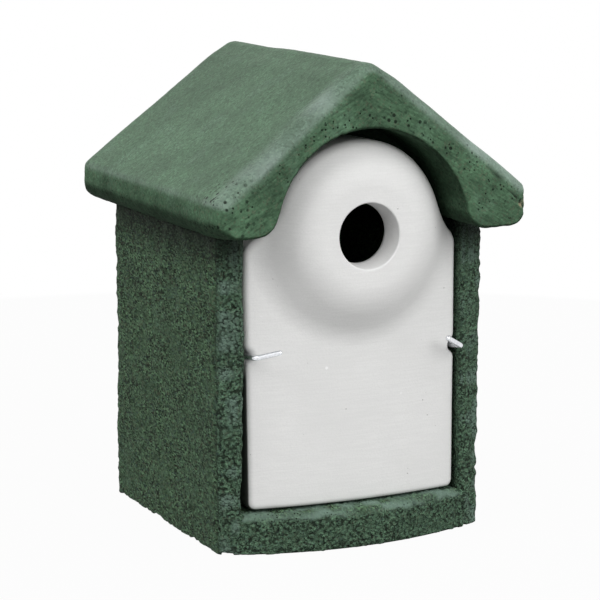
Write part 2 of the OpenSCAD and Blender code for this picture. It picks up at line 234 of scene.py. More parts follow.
class NestStage(bpy.types.PropertyGroup):
    floor_r: length("Floor radius", "Radius of the round floor", 2400)
    front_power: FloatProperty(name="Front light", description="Power of the front lamp",
                               default=17.0, unit="POWER")
    left_power: FloatProperty(name="Left light", description="Power of the lamp on the left",
                              default=7.0, unit="POWER")
    sky_low: FloatProperty(name="Sky at the horizon", default=0.35, min=0.0,
                           description="Strength of the light from the horizon")
    sky_high: FloatProperty(name="Sky overhead", default=1.10, min=0.0,
                            description="Strength of the light from overhead")


# ---------------------------------------------------------------- plain geometry


def arc(cx, cy, r, start, end, count):
    """Points on an arc about (cx, cy): the centre plus r times the cosine and sine of
    angles spaced evenly from start to end, in degrees."""
    a = np.radians(np.linspace(start, end, count))
    return np.stack([cx + r * np.cos(a), cy + r * np.sin(a)], axis=1)


def evenly(count, *parts):
    """One path through all the parts, as count points spaced evenly along it."""
    points = np.concatenate(parts)
    steps = np.linalg.norm(np.diff(points, axis=0), axis=1)
    along = np.concatenate([[0], np.cumsum(steps)])
    at = np.linspace(0, along[-1], count)
    return np.stack([np.interp(at, along, column) for column in points.T], axis=1)


def whole(right, left=None):
    """A path along its right half to the middle and back along the mirror image of its
    left half, which is the right one where none is given."""
    left = right if left is None else left
    return np.concatenate([right, (left * [-1, 1])[::-1][1:]])


def side_normals(path, closed=False):
    """Unit normals on the right-hand side of a path in the plane, from the difference of
    each point's two neighbours."""
    if closed:
        tangent = np.roll(path, -1, axis=0) - np.roll(path, 1, axis=0)
    else:
        tangent = np.gradient(path, axis=0)
    normal = np.stack([tangent[:, 1], -tangent[:, 0]], axis=1)
    return normal / np.linalg.norm(normal, axis=1, keepdims=True)


def smooth(t):
    """Smooth step: 0 below 0, 1 above 1 and 3t^2 - 2t^3 between."""
    t = np.clip(t, 0, 1)
    return t * t * (3 - 2 * t)


def joined(x, y, z):
    """Points from their x, y and z, numbers or arrays, stretched to one shape."""
    return np.stack(np.broadcast_arrays(x, y, z), axis=-1)


def upright(flat, y):
    """Points from a flat path in X and Z, at the depth y."""
    return joined(flat[:, 0], y, flat[:, 1])


def ruled(first, second, steps):
    """A grid whose rows go from one path to another in even steps."""
    share = np.linspace(0, 1, steps)[:, None, None]
    return first * (1 - share) + second * share


def fan(ring):
    """The grid of a flat end: a ring, and its middle as often as it has points."""
    return np.stack([ring, np.broadcast_to(ring.mean(axis=0), ring.shape)])


def skin(name, grids):
    """One closed object from grids of points. Each grid is (points, wrap rows, wrap
    columns), and its last row or column is joined to the first where it wraps. Points
    that coincide are merged, and all faces are turned outwards."""
    points, faces, start = [], [], 0
    for grid, wrap_rows, wrap_cols in grids:
        rows, cols = grid.shape[:2]
        index = np.arange(start, start + rows * cols).reshape(rows, cols)
        index = np.pad(index, ((0, wrap_rows), (0, wrap_cols)), "wrap")
        quads = np.stack([index[:-1, :-1], index[:-1, 1:], index[1:, 1:], index[1:, :-1]], -1)
        points.append(grid.reshape(-1, 3))
        faces.append(quads.reshape(-1, 4))
        start += rows * cols
    mesh = bpy.data.meshes.new(name)
    mesh.from_pydata(np.concatenate(points), [], np.concatenate(faces))
    work = bmesh.new()
    work.from_mesh(mesh)
    bmesh.ops.remove_doubles(work, verts=work.verts, dist=0.004 * MM)
    bmesh.ops.recalc_face_normals(work, faces=work.faces)
    work.to_mesh(mesh)
    work.free()
    mesh.shade_smooth()
    piece = bpy.data.objects.new(name, mesh)
    bpy.context.scene.collection.objects.link(piece)
    return piece


def read_mesh(piece):
    """A piece's points and its normals, as arrays."""
    mesh = piece.data
    points, normals = np.empty((2, len(mesh.vertices) * 3))
    mesh.vertices.foreach_get("co", points)
    mesh.vertex_normals.foreach_get("vector", normals)
    return points.reshape(-1, 3), normals.reshape(-1, 3)


def settle(piece, moved, **painted):
    """Puts moved points back into a piece's mesh and keeps the painted numbers, one for
    each point, under their names, for its material to read."""
    for name, values in painted.items():
        layer = piece.data.attributes.new(name, "FLOAT", "POINT")
        layer.data.foreach_set("value", np.asarray(values, np.float32))
    piece.data.vertices.foreach_set("co", moved.ravel())
    piece.data.update()
    return piece


def lattice_noise(points, cell, seed):
    """Smooth noise from -1 to 1: random values on a cubic lattice of cells of so many
    millimetres, blended between a cell's eight corners by 6t^5 - 15t^4 + 10t^3 of the
    position t inside it."""
    side = 32
    table = np.random.default_rng(seed).uniform(-1, 1, (side, side, side))
    scaled = points / (cell * MM)
    base = np.floor(scaled).astype(int)
    part = scaled - base
    part = part * part * part * (part * (part * 6 - 15) + 10)
    total = np.zeros(len(points))
    for corner in np.ndindex(2, 2, 2):
        weight = np.prod(np.where(corner, part, 1 - part), axis=1)
        total += weight * table[tuple(((base + corner) % side).T)]
    return total


def layers(points, *parts):
    """The sum of layers of noise, each with its cell and height in millimetres, and its
    seed."""
    return sum(lattice_noise(points, cell, seed) * height * MM for cell, height, seed in parts)


def pits(points, cell, share, radius, seed):
    """Depth from 0 to 1 of round pits: a share of the cells of a cubic lattice holds one
    pit at a random place, and a point takes the deepest of the bowls in the 27 cells
    round it, each one less the squared distance in radii. Cell and radius are in
    millimetres."""
    side = 24
    table = np.random.default_rng(seed).uniform(0, 1, (side, side, side, 5))
    scaled = points / (cell * MM)
    base = np.floor(scaled).astype(int)
    deepest = np.zeros(len(points))
    for step in np.ndindex(3, 3, 3):
        cube = base + step - 1
        random = table[tuple((cube % side).T)]
        away = np.linalg.norm(scaled - cube - random[:, :3], axis=1) * cell
        size = radius * (0.45 + 0.55 * random[:, 3])
        bowl = np.clip(1 - (away / size) ** 2, 0, 1) * (0.5 + 0.5 * random[:, 3])
        deepest = np.maximum(deepest, np.where(random[:, 4] < share, bowl, 0))
    return deepest


# ---------------------------------------------------------------- materials

# Tones of the casting: where its grain is open, of a few grains, where it is rubbed.
OPEN_GREEN = (0.160, 0.290, 0.180)
BROWN_GRAIN = (0.105, 0.095, 0.066)
BLUE_GRAIN = (0.065, 0.115, 0.105)
RUBBED_GREEN = (0.178, 0.262, 0.218)

# Tones of the roof: rubs, the pale edges of wear and painted sheen, a few grains,
# and bare concrete in the chips.
RUB_GREEN = (0.125, 0.212, 0.145)
WEAR_AND_SHEEN_GREEN = (0.255, 0.325, 0.290)
OCHRE_GRAIN = (0.130, 0.120, 0.085)
BARE_CONCRETE = (0.40, 0.32, 0.21)

# Tones of the panel: chips in its skin, and the painted shadow on its rim in the gaps.
CHIP_WHITE = (0.93, 0.93, 0.93)
GAP_SHADOW = (0.022, 0.028, 0.022)


class Nodes:
    """Adds shader nodes to a new material or to a world, and links them."""

    def __init__(self, name, world=None):
        self.owner = world or bpy.data.materials.new(name)
        self.owner.use_nodes = True
        self.tree = self.owner.node_tree
        self.tree.nodes.clear()
        self.out = self.add("OutputWorld" if world else "OutputMaterial")
        self.coords = self.add("TexCoord").outputs
        self.place = self.coords["Object"]

    def add(self, kind, settings=None, **inputs):
        """A node of a kind, its settings, and its inputs as values or as links."""
        node = self.tree.nodes.new("ShaderNode" + kind)
        for key, value in (settings or {}).items():
            setattr(node, key, value)
        for key, value in inputs.items():
            socket = node.inputs[int(key[1:]) if key[1:].isdigit() else key.replace("_", " ")]
            if isinstance(value, bpy.types.NodeSocket):
                self.tree.links.new(value, socket)
            else:
                socket.default_value = value
        return node

    def painted(self, *names):
        """The numbers kept for each point under some names."""
        return [self.add("Attribute", {"attribute_name": name}).outputs["Fac"] for name in names]

    def noise(self, scale, detail=3.0, rough=0.55, place=None):
        """Noise of a number of waves per metre."""
        return self.add("TexNoise", Vector=place or self.place, Scale=scale, Detail=detail,
                        Roughness=rough).outputs["Fac"]

    def cells(self, scale, place=None):
        """Scattered points, so many to the metre: the distance to the nearest, in cells,
        and three random numbers that stay the same all over its cell."""
        node = self.add("TexVoronoi", Vector=place or self.place, Scale=scale)
        parts = self.add("SeparateColor", Color=node.outputs["Color"])
        return (node.outputs["Distance"], *parts.outputs[:3])

    def curve(self, value, *stops):
        """A value mapped through a straight-sided curve with the given (in, out) stops."""
        node = self.add("ValToRGB", Fac=value)
        ramp = node.color_ramp
        while len(ramp.elements) < len(stops):
            ramp.elements.new(0.5)
        for element, (at, level) in zip(ramp.elements, stops):
            element.position = at
            element.color = (level, level, level, 1)
        return node.outputs["Color"]

    def math(self, operation, value, *others):
        """Arithmetic on two or more values, from left to right."""
        for other in others:
            value = self.add("Math", {"operation": operation}, _0=value, _1=other).outputs[0]
        return value

    def product(self, *values):
        """The values multiplied."""
        return self.math("MULTIPLY", *values)

    def most(self, *values):
        """The largest of the values."""
        return self.math("MAXIMUM", *values)

    def rest(self, value):
        """What a value leaves of 1."""
        return self.math("SUBTRACT", 1.0, value)

    def between(self, share, first, second):
        """A number between two, by a share from 0 to 1."""
        return self.add("Mix", {"data_type": "FLOAT"}, _0=share, _2=first, _3=second).outputs[0]

    def times(self, tone, level):
        """A colour made darker or lighter by a number."""
        return self.add("Mix", {"data_type": "RGBA", "blend_type": "MULTIPLY"},
                        _0=1.0, _6=tone, _7=level).outputs[2]

    def blend(self, share, first, second):
        """A colour between two, by a share from 0 to 1."""
        first, second = (tone if isinstance(tone, bpy.types.NodeSocket) else (*tone, 1)
                         for tone in (first, second))
        return self.add("Mix", {"data_type": "RGBA"}, _0=share, _6=first, _7=second).outputs[2]

    def bump(self, height, distance, strength=1.0, normal=None):
        """A bump from a height, over a distance in millimetres, on top of another."""
        node = self.add("Bump", Height=height, Distance=distance * MM, Strength=strength)
        if normal is not None:
            self.tree.links.new(normal, node.inputs["Normal"])
        return node.outputs["Normal"]

    def stretched(self, scale, place=None, **turn):
        """Coordinates turned and stretched, for marks that run one way."""
        return self.add("Mapping", Vector=place or self.place, Scale=scale, **turn).outputs[0]

    def seen(self):
        """1 for the rays that show the background: straight, in gloss and through glass."""
        rays = self.add("LightPath").outputs
        return self.most(*(rays[f"Is {kind} Ray"] for kind in ("Camera", "Glossy", "Transmission")))

    def show(self, shader):
        """Links the finished shader, and returns the material or world."""
        self.tree.links.new(shader.outputs[0], self.out.inputs[0])
        return self.owner

    def finish(self, **inputs):
        """The finished material, from the inputs of its surface shader."""
        return self.show(self.add("BsdfPrincipled", **inputs))


def shade(base, factor):
    """A colour made darker or lighter by a factor."""
    return tuple(min(1.0, c * factor) for c in base)


def coarse_casting(base):
    """Wood-fibre concrete with its colour all through: dark between its grains, of which
    each has a tone of its own, a few of them brownish or bluish. Where the number called
    open is 1 the skin is rippled, holed and lifted in pads with creases between them, less
    so in calm patches; its holes, pits and creases are darkened with painted shade. Where
    rubbed is 1 it is smoother and paler, and where the number for the eaves' painted
    shade is 1 it is darkened with that painted shadow."""
    n = Nodes("coarse_casting")
    rubbed, opened, sheltered, pit = n.painted("rubbed", "open", "sheltered", "pit")
    _, grain, browned, blued = n.cells(1300, n.stretched((1.0, 0.5, 1.0)))
    ripple = n.noise(700, 2, 0.5)
    middle, pick, _, _ = n.cells(560)
    holes = n.product(n.curve(pick, (0.38, 1), (0.42, 0)),
                      n.curve(n.noise(90, 2), (0.38, 0.3), (0.56, 1)),
                      n.curve(middle, (0.20, 1), (0.31, 0)))
    calm = n.curve(n.noise(75, 2), (0.48, 0), (0.62, 0.45))
    fine = n.curve(grain, (0, 0), (0.25, 0.10), (0.5, 0.34), (0.75, 0.55), (1, 1))
    fine = n.between(calm, fine, 0.38)
    rippled = n.curve(ripple, (0.35, 0), (0.42, 0.36), (0.50, 0.48), (0.58, 0.62), (0.65, 1))
    still = n.product(calm, 1.15)
    share = n.between(opened, fine, n.between(still, n.between(0.2, rippled, fine), 0.46))
    share = n.between(n.product(rubbed, 0.6), share, 0.42)
    tone = n.blend(share, shade(base, 0.06), n.blend(opened, shade(base, 2.45), OPEN_GREEN))
    tone = n.blend(n.curve(browned, (0.84, 0), (0.88, 0.28)), tone, BROWN_GRAIN)
    tone = n.blend(n.curve(blued, (0.84, 0), (0.88, 0.30)), tone, BLUE_GRAIN)
    tone = n.blend(n.product(rubbed, 0.70), tone, RUBBED_GREEN)
    tone = n.times(tone, n.curve(n.noise(38, 3), (0.36, 0.86), (0.64, 1)))
    # Painted shade: the shadow of the eaves darkens the walls' top.
    tone = n.times(tone, n.between(sheltered, 1.0, 0.26))
    # Painted shade: the holes, pits and creases between pads are darkened.
    pores = n.most(holes, n.curve(pit, (0.30, 0), (0.80, 0.9)))
    pads = middle
    creases = n.product(n.curve(pads, (0.56, 0), (0.74, 0.85)), opened, n.rest(still))
    tone = n.blend(n.most(pores, creases), tone, shade(base, 0.14))
    lifted = n.product(n.curve(pads, (0.10, 1), (0.50, 0.75), (0.75, 0)), opened)
    normal = n.bump(n.product(ripple, opened), 2.2, 0.85)
    normal = n.bump(grain, 0.25, 0.5, n.bump(lifted, 0.9, 0.9, normal))
    rough = n.curve(grain, (0, 0.95), (1, 0.80))
    return n.finish(Base_Color=tone, Roughness=rough, Normal=normal, Specular_IOR_Level=0.2)


def troweled_casting(base):
    """The roof's skin: the same concrete, rubbed smooth and pale on the slopes, where the
    number called rubbed is 1, palest round the edges in a band of wear and painted sheen,
    and elsewhere darker, with drag lines down the slope and small pores darkened with
    painted shade. Pores crowd where pored is 1, bare concrete shows where chip is 1, and
    the faces that look down are darkened with painted shade."""
    n = Nodes("troweled_casting")
    rubbed, worn, under, pored, pit, chip = n.painted("rubbed", "worn", "sheltered", "pored",
                                                      "pit", "chip")
    patches = n.noise(34, 3)
    _, grain, tinted, _ = n.cells(1000)
    x, y, z = n.add("SeparateXYZ", Vector=n.place).outputs
    folded = n.add("CombineXYZ", X=n.math("ABSOLUTE", x, 0.0), Y=y, Z=z).outputs[0]
    turned = n.add("Mapping", Vector=folded, Rotation=(0.0, np.radians(-31), 0.0)).outputs[0]
    drags = n.noise(1.0, 3, 0.6, n.stretched((170, 500, 760), turned))

    middle, pick, _, _ = n.cells(480)
    where = n.most(pored, n.curve(n.noise(55, 2), (0.44, 0), (0.54, 1)))
    dots = n.product(n.curve(pick, (0.36, 1), (0.40, 0)), where,
                     n.curve(middle, (0.18, 1), (0.30, 0)))
    few = n.most(pored, n.curve(pick, (0.02, 0.6), (0.04, 0)))
    dots = n.between(rubbed, dots, n.product(dots, few))
    middle, pick, _, _ = n.cells(300)
    crowd = n.product(n.curve(pick, (0.50, 1), (0.55, 0)), pored,
                      n.curve(middle, (0.20, 1), (0.32, 0)))
    pores = n.most(dots, crowd, n.curve(pit, (0.12, 0), (0.6, 1)))

    fine = n.curve(grain, (0, 0), (0.2, 0.30), (0.8, 0.70), (1, 1))
    fine = n.between(n.product(worn, 0.85), fine, 0.5)
    streaks = n.curve(drags, (0.36, 0.72), (0.48, 1), (0.60, 1.06), (0.70, 1.30))
    spread = n.product(n.rest(rubbed), 0.5)
    # The level takes painted shade on the faces that look down.
    level = n.product(
        n.between(rubbed, n.between(fine, 0.62, 1.02), n.between(fine, 0.62, 1.34)),
        n.between(rubbed, streaks, 1.0),
        n.curve(patches, (0.36, 0.87), (0.64, 1.08)),
        n.curve(n.noise(150, 2), (0.36, 0.93), (0.64, 1.07)),
        n.curve(z, (0.195, 1), (0.235, 0.90)),
        n.between(spread, 1.0, n.curve(patches, (0.38, 0.75), (0.62, 1.35))),
        n.between(under, 1.0, 0.42))
    rubs = n.product(n.curve(n.noise(60, 3), (0.56, 0), (0.66, 0.25)), n.rest(under))
    # The pale band round the edges is wear and a painted sheen.
    tone = n.blend(n.product(worn, 0.9), n.blend(rubs, base, RUB_GREEN), WEAR_AND_SHEEN_GREEN)
    ochre = n.product(n.curve(tinted, (0.86, 0), (0.9, 0.28)), n.between(rubbed, 1.0, 0.35))
    tone = n.times(n.blend(ochre, tone, OCHRE_GRAIN), level)
    bare = n.product(chip, n.curve(grain, (0.2, 0.35), (0.7, 1)))
    # Painted shade: the pores and the crack are darkened.
    tone = n.blend(pores, n.blend(bare, tone, BARE_CONCRETE), shade(base, 0.12))
    normal = n.bump(n.product(drags, n.rest(rubbed)), 1.1, 0.4)
    normal = n.bump(n.rest(pores), 0.9, 0.6, n.bump(fine, 0.12, 0.4, normal))
    gloss = n.between(under, n.between(rubbed, 0.14, 0.25), 0.04)
    return n.finish(Base_Color=tone, Roughness=n.between(rubbed, 0.85, 0.55), Normal=normal,
                    Specular_IOR_Level=gloss)


def smooth_panel(base):
    """The panel's pale, dense face: even, with faint level brush lines, pinholes and a few
    white chips, and dark with a painted shadow where its rim sits in the gaps."""
    n = Nodes("smooth_panel")
    patches = n.noise(34, 3)
    brush = n.noise(1.0, 3, 0.6, n.stretched((60, 300, 1100)))
    fine = n.noise(1100, 3, 0.6)
    pinholes = n.product(n.curve(n.cells(190)[0], (0.04, 1), (0.08, 0)),
                         n.curve(n.noise(55, 1), (0.56, 0), (0.62, 1)))
    middle, pick, _, _ = n.cells(120)
    chips = n.product(n.curve(pick, (0.05, 1), (0.07, 0)), n.curve(middle, (0.07, 1), (0.11, 0)))
    tone = n.blend(n.curve(patches, (0.36, 0), (0.64, 1)), shade(base, 0.978),
                   shade(base, 1.012))
    # The last of these is the painted shadow on the rim in the gaps.
    for share, over in ((n.curve(brush, (0.40, 0.55), (0.60, 0)), shade(base, 0.94)),
                        (n.curve(fine, (0.36, 0.6), (0.52, 0)), shade(base, 0.94)),
                        (chips, CHIP_WHITE), (pinholes, shade(base, 0.55)),
                        (n.product(*n.painted("grime"), 0.95), GAP_SHADOW)):
        tone = n.blend(share, tone, over)
    normal = n.bump(fine, 0.20, 0.30, n.bump(brush, 0.25, 0.20))
    normal = n.bump(n.rest(pinholes), 0.4, 0.5, normal)
    rough = n.curve(patches, (0.3, 0.66), (0.7, 0.58))
    return n.finish(Base_Color=tone, Roughness=rough, Normal=normal, Specular_IOR_Level=0.3)


def plated_wire(base):
    """Zinc-plated wire: bright, with the fine lines of drawing and duller spots."""
    n = Nodes("plated_wire")
    spots = n.noise(900, 3, 0.6)
    lines = n.noise(1.0, 2, 0.5, n.stretched((2600, 260, 2600)))
    tone = n.blend(n.curve(spots, (0.38, 0), (0.62, 1)), shade(base, 0.80), base)
    return n.finish(Base_Color=tone, Roughness=n.curve(spots, (0.35, 0.42), (0.65, 0.26)),
                    Normal=n.bump(lines, 0.06, 0.25), Metallic=1.0)


def pale_floor():
    """The stage's floor: white, and whiter with distance, so that it meets the sky."""
    n = Nodes("pale_floor")
    far = n.add("VectorMath", {"operation": "LENGTH"}, _0=n.place).outputs["Value"]
    away = n.curve(n.math("DIVIDE", far, 1.2), (0.15, 0), (0.55, 1))
    share = n.product(n.seen(), n.most(away, 0.965))
    plain = n.add("BsdfDiffuse", Color=(0.30, 0.30, 0.30, 1))
    white = n.add("Emission", Color=(1, 1, 1, 1), Strength=1.0)
    return n.show(n.add("MixShader", _0=share, _1=plain.outputs[0], _2=white.outputs[0]))


def sky(low, high):
    """A world that gives white light, which grows from the horizon to overhead, and is
    plain white to look at."""
    n = Nodes("sky", bpy.data.worlds.new("sky"))
    climb = n.add("MapRange", To_Min=low, To_Max=high,
                  Value=n.add("SeparateXYZ", Vector=n.coords["Generated"]).outputs["Z"])
    light = n.add("Background", Color=(1, 1, 1, 1), Strength=climb.outputs["Result"])
    white = n.add("Background", Color=(1, 1, 1, 1))
    return n.show(n.add("MixShader", _0=n.seen(), _1=light.outputs[0], _2=white.outputs[0]))


# ---------------------------------------------------------------- the walls


def inner_y(r, x):
    """Y of the middle, at x, of a circle of radius r that touches the front's bow from
    inside."""
    return BOW_Y - np.sqrt((BOW_R - r) ** 2 - x ** 2)


def wall_plan(props, count):
    """The walls seen from above: an outer path from the left side of the rebate round the
    back to its right side, and an inner path of as many points that faces it across the
    wall."""
    edge, corner = props.jamb_edge_r, props.corner_r
    ex, cx = REBATE_HALF + edge, HALF_W - corner
    ey, cy = inner_y(edge, ex), inner_y(corner, cx)
    start, end = (np.degrees(np.arctan2(x, BOW_Y - y)) - 90 for x, y in ((ex, ey), (cx, cy)))
    front = np.concatenate([arc(ex, ey, edge, 180, 360 + start, 12),
                            arc(0, BOW_Y, BOW_R, start, end, 20),
                            arc(cx, cy, corner, end, 0, 14)])
    close = count * 32 // 100
    rest = evenly(count - close + 1, front[-1:], arc(cx, BACK_Y - corner, corner, 0, 90, 14),
                  [[0, BACK_Y]])
    inner = evenly(count, [[REBATE_HALF, ey], [REBATE_HALF, SEAT_Y], [CAVITY_HALF, SEAT_Y],
                           [CAVITY_HALF, CAVITY_BACK], [0, CAVITY_BACK]])
    return whole(np.concatenate([evenly(close, front), rest[1:]]))[::-1], whole(inner)[::-1]


def coarse_pits(points):
    """Depth from 0 to 1 of the pits between the grains: small ones all over, and larger
    ones in clusters and near the upright corners."""
    off = HALF_W - np.abs(points[:, 0]) + np.abs(points[:, 1] - CORNER_Y)
    where = np.maximum(smooth((lattice_noise(points, 20, 16) + 0.1) / 0.4),
                       smooth(1 - off / (26 * MM)))
    return np.maximum(0.8 * pits(points, 4.5, 0.35, 1.3, 14),
                      pits(points, 8, 0.45, 2.6, 15) * where)


def rough_height(points, props):
    """How far the coarse casting's surface stands out: slow waves, lumps, grit and grains
    of noise, less its pits."""
    waves = layers(points, (34, 0.45, 11), (8, 0.40, 12), (1.7, 0.30, 20))
    grains = lattice_noise(points, 3.2, 13) * props.grain
    return waves + grains - props.pit_depth * coarse_pits(points)


def foot_nicks(points, normals):
    """How far the bottom edge is broken away upwards: nicks of smooth noise, which fade
    to none 5 mm up, and only where a face looks sideways."""
    nick = smooth((lattice_noise(points * [1, 1, 0], 3, 41) - 0.15) / 0.5) * 1.3 * MM
    sideways = np.hypot(normals[:, 0], normals[:, 1]) > 0.12
    return nick * sideways * np.clip(1 - points[:, 2] / (5 * MM), 0, 1)


def wall_bulge(points, props):
    """How far the side walls belly out sideways: most on the right, and there less near
    the foot, and 0.6 of that on the left."""
    side = np.where(points[:, 0] > 0, 1.0, -0.6)
    outer = smooth((np.abs(points[:, 0]) - HALF_W + 14 * MM) / (12 * MM))
    low = 0.5 + 0.3 * np.sign(side)
    rise = smooth((points[:, 2] - 5 * MM) / (45 * MM))
    return side * props.bulge * outer * (low + (1 - low) * rise)


def worn_rebate(points, props):
    """How far the left jamb's inner edge is worn back, from none at the hook to the most
    just above the ledge."""
    hook_z = hook_axis("left_hook")[2]
    away = points[:, 0] + REBATE_HALF
    near = smooth(1 - np.abs(away) / np.where(away > 0, 4 * MM, 8 * MM))
    down = np.clip((hook_z - points[:, 2]) / (hook_z - LEDGE_H), 0, 1)
    above = smooth((points[:, 2] - LEDGE_H + 1 * MM) / (3 * MM))
    return props.rebate_wear * near * down * above * (points[:, 1] < SEAT_Y + 1 * MM)


def wall_paint(points, normals):
    """Numbers for the walls' material. Open: on the faces that look forward, in the
    rebate, and a little in patches. Rubbed: round the upright front corners, in patches.
    The painted shade of the eaves: over the walls' top 24 mm."""
    forward = smooth((-normals[:, 1] - 0.25) / 0.3)
    patches = smooth((lattice_noise(points, 26, 17) - 0.25) / 0.5)
    rebate = (np.abs(points[:, 0]) < REBATE_HALF + 3 * MM) & (points[:, 1] < SEAT_Y + 1 * MM)
    corner = np.clip(1 - np.abs(np.abs(normals[:, 0]) - 0.50) / 0.45, 0, 1)
    uneven = np.clip(0.20 + 1.4 * lattice_noise(points, 7, 18), 0, 1)
    return {"pit": coarse_pits(points),
            # Painted shade under the eaves.
            "sheltered": smooth((points[:, 2] - WALL_H + 24 * MM) / (22 * MM)),
            "open": np.maximum(np.maximum(forward, rebate), 0.2 * patches),
            "rubbed": corner * (points[:, 1] < CORNER_Y + 10 * MM) * uneven}


def make_walls(props):
    """The four walls and the two jambs as one skin: the plan carried upwards, its foot
    rounded by moving the plan in by r less the root of r^2 - (r - z)^2, closed below and
    above by a band between the outer and the inner path."""
    outer, inner = wall_plan(props, WALL_POINTS)
    n = len(outer)
    loop = np.concatenate([outer, inner[::-1][1:-1]])
    r = props.foot_r
    heights = np.concatenate([r * (1 - np.cos(np.radians([0, 30, 60]))),
                              np.linspace(r, WALL_H + 0.3 * MM, WALL_LOOPS)])[:, None]
    inset = r - np.sqrt(r * r - np.maximum(r - heights, 0) ** 2)
    flat = loop + inset[..., None] * side_normals(loop, closed=True)
    sides = joined(flat[..., 0], flat[..., 1], heights)
    caps = [ruled(ring[:n], np.concatenate([ring[:1], ring[n:][::-1], ring[n - 1:n]]), 9)
            for ring in (sides[0], sides[-1])]
    piece = skin("cast_walls", [(sides, False, True)] + [(cap, False, False) for cap in caps])
    points, normals = read_mesh(piece)
    inside = (np.abs(points[:, 0]) < CAVITY_HALF + 1 * MM) & (points[:, 1] > SEAT_Y - 1 * MM)
    inside &= points[:, 1] < CAVITY_BACK + 1 * MM
    normals[:, 2] = 0
    height = rough_height(points, props) * np.where(inside, INSIDE_RELIEF, 1)
    height[points[:, 2] > WALL_H] = 0
    moved = points + normals * height[:, None]
    moved[:, 2] += foot_nicks(points, normals)
    moved[:, 0] += wall_bulge(points, props) - worn_rebate(points, props)
    return settle(piece, moved, **wall_paint(points, normals))


def make_sill(props):
    """The bowed lip below the panel: a profile of depth behind the front and height, its
    top edge rounded, carried along the bow from inside one jamb to inside the other."""
    r, foot = props.ledge_edge_r, props.foot_r
    depth, level = evenly(SILL_POINTS, arc(foot, foot, foot, -90, -180, 6),
                          arc(r, LEDGE_H - r, r, 180, 90, 12), [[16 * MM, LEDGE_H]]).T
    end = np.arcsin((REBATE_HALF + props.jamb_edge_r) / BOW_R)
    a = np.linspace(-end, end, SILL_LOOPS)[:, None]
    radius = BOW_R - depth
    ring = np.concatenate([
        joined(radius * np.sin(a), BOW_Y - radius * np.cos(a), level),
        joined(BOW_R * np.sin(a), SEAT_Y + 0.5 * MM, np.array([LEDGE_H, LEDGE_H / 2, 0])),
    ], axis=1)
    piece = skin("cast_sill", [(ring, False, True), (fan(ring[0]), False, True),
                               (fan(ring[-1]), False, True)])
    points, normals = read_mesh(piece)
    height = rough_height(points, props) - 0.25 * MM * (points[:, 2] > LEDGE_H - 1 * MM)
    height += layers(points, (1.1, 0.30, 43))
    height *= smooth((SEAT_Y - 2 * MM - points[:, 1]) / (6 * MM))
    moved = points + normals * height[:, None]
    moved[:, 2] = np.where(points[:, 2] < 0.01 * MM, 0, np.maximum(moved[:, 2], 0.05 * MM))
    moved[:, 2] += foot_nicks(points, normals) * (points[:, 1] < SEAT_Y - 3 * MM)
    # The ledge's upward face is paler where rubbed is 1: wear, and a painted highlight of its lit
    # top.
    edge = smooth((normals[:, 2] - 0.10 + 0.25 * lattice_noise(points, 5, 42)) / 0.5)
    uneven = np.clip(0.70 + 0.9 * lattice_noise(points, 7, 19), 0, 1)
    return settle(piece, moved, pit=coarse_pits(points), rubbed=edge * uneven, open=1 - edge)


# ---------------------------------------------------------------- the roof


def gable_profile(props, count):
    """Half of the roof seen from the front, with the end of the level underside as its
    start: round the eave's foot, up its face, round its top and up the slope to the
    rounded ridge."""
    r, foot = props.edge_r, props.eave_foot_r
    ridge_z = RIDGE_TOP - r
    slope = 90 - np.degrees(np.arctan2(ridge_z - props.eave_ball_z, EAVE_HALF - r))
    return evenly(count, arc(EAVE_HALF - foot, WALL_H + foot, foot, -90, 0, 24),
                  arc(EAVE_HALF - r, props.eave_ball_z, r, 0, slope, 16),
                  arc(0, ridge_z, r, slope, 90, 10))


def arch_profile(props, count, side):
    """Half of what lies under the hood: in along the level underside, round the arch's
    foot, which is part of a circle that touches the arch, and up the arch to its crown."""
    r, foot = props.arch_r, props.arch_foot_r
    foot_x = np.sqrt(r * r + 2 * r * foot)
    touch = np.degrees(np.arctan2(foot, foot_x))
    middle = side * props.arch_x
    path = np.concatenate([arc(foot_x + middle, WALL_H + foot, foot, -90, touch - 180, 20),
                           arc(middle, WALL_H, r, touch, 90, 40)])
    return evenly(count, np.linspace([EAVE_HALF - props.eave_foot_r, WALL_H], path[0], 8), path)


def gable_in(z, props):
    """How far the leaning gable faces have come in at a height: none up to the eaves."""
    low, high = props.eave_ball_z, RIDGE_TOP - props.edge_r
    return props.lean * np.clip((z - low) / (high - low), 0, 1)


def face_front(z, props):
    """Y of the hood's front face at a height."""
    return ROOF_FRONT + gable_in(z, props)


def face_back(z, props):
    """Y of the back gable's face at a height."""
    return ROOF_BACK - gable_in(z, props)


